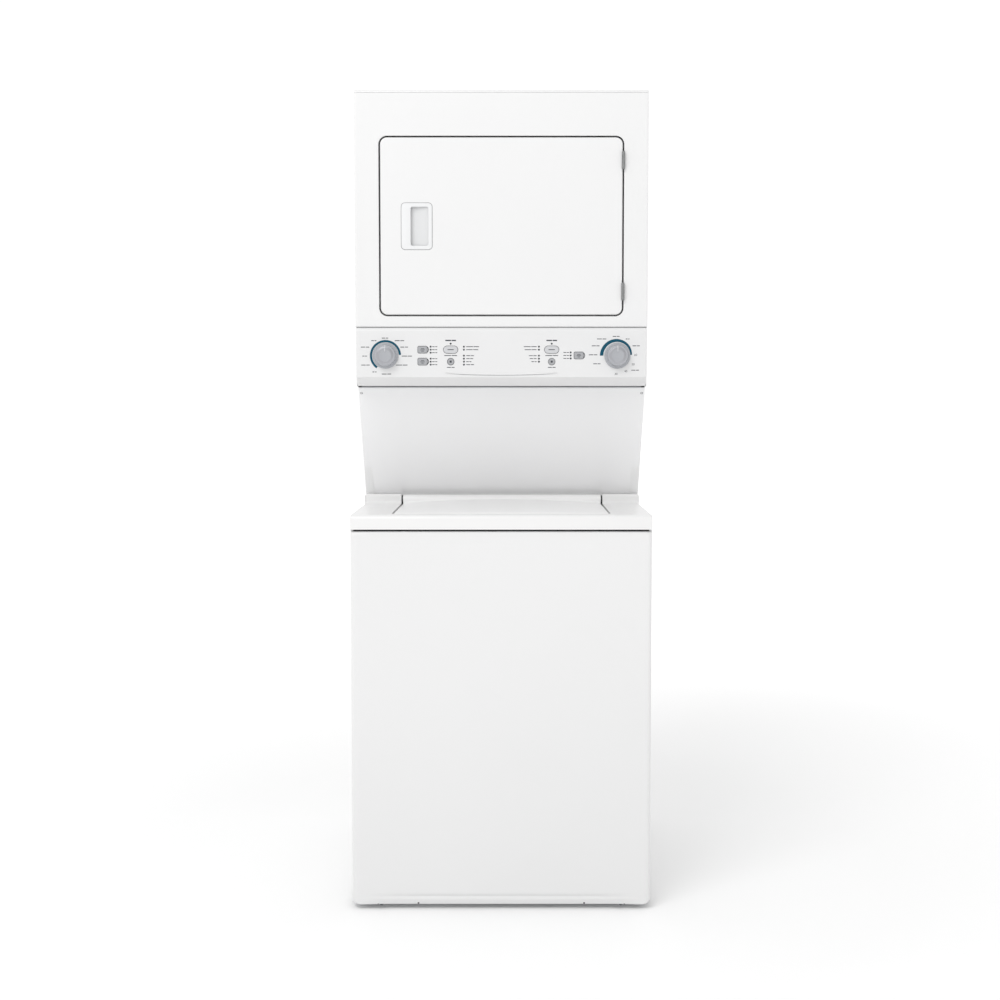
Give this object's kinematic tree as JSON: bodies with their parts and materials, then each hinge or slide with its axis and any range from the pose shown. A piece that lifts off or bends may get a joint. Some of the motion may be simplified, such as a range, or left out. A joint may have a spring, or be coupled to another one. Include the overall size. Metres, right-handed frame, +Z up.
{
  "type": "stacked laundry centre",
  "caption": "Full-height laundry centre: top-loading washer with a lifting lid, and a front-loading dryer with a swing door above a control console.",
  "frame": {"origin": "on the floor, under the middle of the body", "axes": "+X to the right as seen from the front, +Y to the back, +Z up"},
  "size_m": [0.686, 0.8, 1.892],
  "materials": {
    "white_enamel": "smooth gloss enamel",
    "zinc_sheet": "spangled zinc coating",
    "white_plastic": "moulded, satin",
    "tub_plastic": "moulded, matt",
    "stainless": "brushed",
    "steel": "plated",
    "cast_metal": "as cast, painted",
    "black_plastic": "moulded, matt",
    "rubber": "matt",
    "console_plastic": "satin",
    "board": "solder mask",
    "knob_plastic": "silver paint",
    "button_plastic": "silver paint"
  },
  "bodies": {
    "root": {"washer_front_panel": "white_enamel", "washer_deck": "white_enamel", "washer_cabinet": "white_enamel", "side_panel_left": "white_enamel", "side_panel_right": "white_enamel", "access_panel": "white_enamel", "dryer_top": "white_enamel", "dryer_front_panel": "white_enamel", "base_frame": "zinc_sheet", "rear_panel": "zinc_sheet", "dryer_base": "zinc_sheet", "rear_bulkhead": "zinc_sheet", "exhaust_duct": "zinc_sheet", "heater_box": "zinc_sheet", "front_bulkhead": "white_plastic", "blower_housing": "white_plastic", "suspension_rods": "steel", "suspension_springs": "steel", "panel_screws": "steel", "hinge_cabinet_leaves": "steel", "door_catch": "steel", "idler_arm": "steel", "dryer_motor": "cast_metal", "leveling_feet": "black_plastic", "lid_lock": "black_plastic", "drain_pump": "black_plastic", "water_valve": "black_plastic", "drum_belt": "rubber", "drain_hose": "rubber", "console_shell": "console_plastic", "control_board": "board"},
    "lid": {"washer_lid": "white_enamel", "lid_liner": "white_plastic"},
    "tub": {"outer_tub": "tub_plastic", "gearcase": "cast_metal", "washer_motor": "cast_metal", "drive_belt": "rubber"},
    "basket": {"wash_basket": "stainless", "balance_ring": "tub_plastic"},
    "agitator": {"agitator": "white_plastic"},
    "drive_pulley": {"drive_pulley": "cast_metal"},
    "motor_pulley": {"motor_pulley": "cast_metal"},
    "drum": {"dryer_drum": "stainless"},
    "rotor": {"motor_rotor": "steel"},
    "idler": {"idler_pulley": "black_plastic"},
    "filter": {"lint_filter": "white_plastic"},
    "door": {"door_outer": "white_enamel", "door_inner": "white_plastic", "door_seal": "rubber", "door_handle": "white_plastic", "hinge_door_leaves": "steel"},
    "washer_knob": {"washer_knob": "knob_plastic"},
    "dryer_knob": {"dryer_knob": "knob_plastic"},
    "washer_start_button": {"washer_start_button": "button_plastic"},
    "washer_cancel_button": {"washer_cancel_button": "button_plastic"},
    "washer_temp_button": {"washer_temp_button": "button_plastic"},
    "washer_soil_button": {"washer_soil_button": "button_plastic"},
    "dryer_start_button": {"dryer_start_button": "button_plastic"},
    "dryer_cancel_button": {"dryer_cancel_button": "button_plastic"},
    "dryer_temp_button": {"dryer_temp_button": "button_plastic"}
  },
  "joints": [
    {"name": "lid_hinge", "type": "hinge", "parent": "root", "child": "lid", "pos_m": [0, -0.01, 0.921], "axis": [-1, 0, 0], "range_deg": [0, 54]},
    {"name": "tub_suspension", "type": "slide", "parent": "root", "child": "tub", "axis": [0, 0, 1], "range_m": [-0.02, 0.01], "stiffness_N_per_m": 15000, "springref_m": 0.025, "deforming": ["suspension_springs"]},
    {"name": "basket_spin", "type": "hinge", "parent": "tub", "child": "basket", "pos_m": [0, -0.07, 0.5], "axis": [0, 0, 1], "continuous": true},
    {"name": "agitator_turn", "type": "hinge", "parent": "basket", "child": "agitator", "pos_m": [0, -0.07, 0.5], "axis": [0, 0, 1], "continuous": true},
    {"name": "drive_pulley_spin", "type": "hinge", "parent": "tub", "child": "drive_pulley", "pos_m": [0, -0.07, 0.145], "axis": [0, 0, 1], "continuous": true},
    {"name": "motor_pulley_spin", "type": "hinge", "parent": "tub", "child": "motor_pulley", "pos_m": [0.19, -0.07, 0.145], "axis": [0, 0, 1], "continuous": true},
    {"name": "door_hinge", "type": "hinge", "parent": "root", "child": "door", "pos_m": [0.28475, -0.2446, 1.577], "axis": [0, 0, 1], "range_deg": [0, 110]},
    {"name": "drum_spin", "type": "hinge", "parent": "root", "child": "drum", "pos_m": [0, 0.07, 1.57], "axis": [0, 1, 0], "continuous": true},
    {"name": "rotor_spin", "type": "hinge", "parent": "root", "child": "rotor", "pos_m": [-0.2, 0.15, 1.275], "axis": [0, 1, 0], "continuous": true},
    {"name": "idler_spin", "type": "hinge", "parent": "root", "child": "idler", "pos_m": [-0.1134, 0.245, 1.24758], "axis": [0, 1, 0], "continuous": true},
    {"name": "filter_slide", "type": "slide", "parent": "root", "child": "filter", "axis": [0, 0, 1], "range_m": [0, 0.12]},
    {"name": "washer_knob_turn", "type": "hinge", "parent": "root", "child": "washer_knob", "pos_m": [-0.272, -0.249, 1.2755], "axis": [0, -1, 0], "continuous": true},
    {"name": "dryer_knob_turn", "type": "hinge", "parent": "root", "child": "dryer_knob", "pos_m": [0.272, -0.249, 1.2755], "axis": [0, -1, 0], "continuous": true},
    {"name": "washer_start_press", "type": "slide", "parent": "root", "child": "washer_start_button", "axis": [0, 1, 0], "range_m": [0, 0.0015], "stiffness_N_per_m": 400, "springref_m": -0.001},
    {"name": "washer_cancel_press", "type": "slide", "parent": "root", "child": "washer_cancel_button", "axis": [0, 1, 0], "range_m": [0, 0.0015], "stiffness_N_per_m": 400, "springref_m": -0.001},
    {"name": "washer_temp_press", "type": "slide", "parent": "root", "child": "washer_temp_button", "axis": [0, 1, 0], "range_m": [0, 0.0015], "stiffness_N_per_m": 400, "springref_m": -0.001},
    {"name": "washer_soil_press", "type": "slide", "parent": "root", "child": "washer_soil_button", "axis": [0, 1, 0], "range_m": [0, 0.0015], "stiffness_N_per_m": 400, "springref_m": -0.001},
    {"name": "dryer_start_press", "type": "slide", "parent": "root", "child": "dryer_start_button", "axis": [0, 1, 0], "range_m": [0, 0.0015], "stiffness_N_per_m": 400, "springref_m": -0.001},
    {"name": "dryer_cancel_press", "type": "slide", "parent": "root", "child": "dryer_cancel_button", "axis": [0, 1, 0], "range_m": [0, 0.0015], "stiffness_N_per_m": 400, "springref_m": -0.001},
    {"name": "dryer_temp_press", "type": "slide", "parent": "root", "child": "dryer_temp_button", "axis": [0, 1, 0], "range_m": [0, 0.0015], "stiffness_N_per_m": 400, "springref_m": -0.001}
  ],
  "couplings": [
    {"joint": "drive_pulley_spin", "follows": "basket_spin", "ratio": 1},
    {"joint": "motor_pulley_spin", "follows": "basket_spin", "ratio": 4.3182},
    {"joint": "rotor_spin", "follows": "drum_spin", "ratio": 26.364},
    {"joint": "idler_spin", "follows": "drum_spin", "ratio": -14.615}
  ]
}
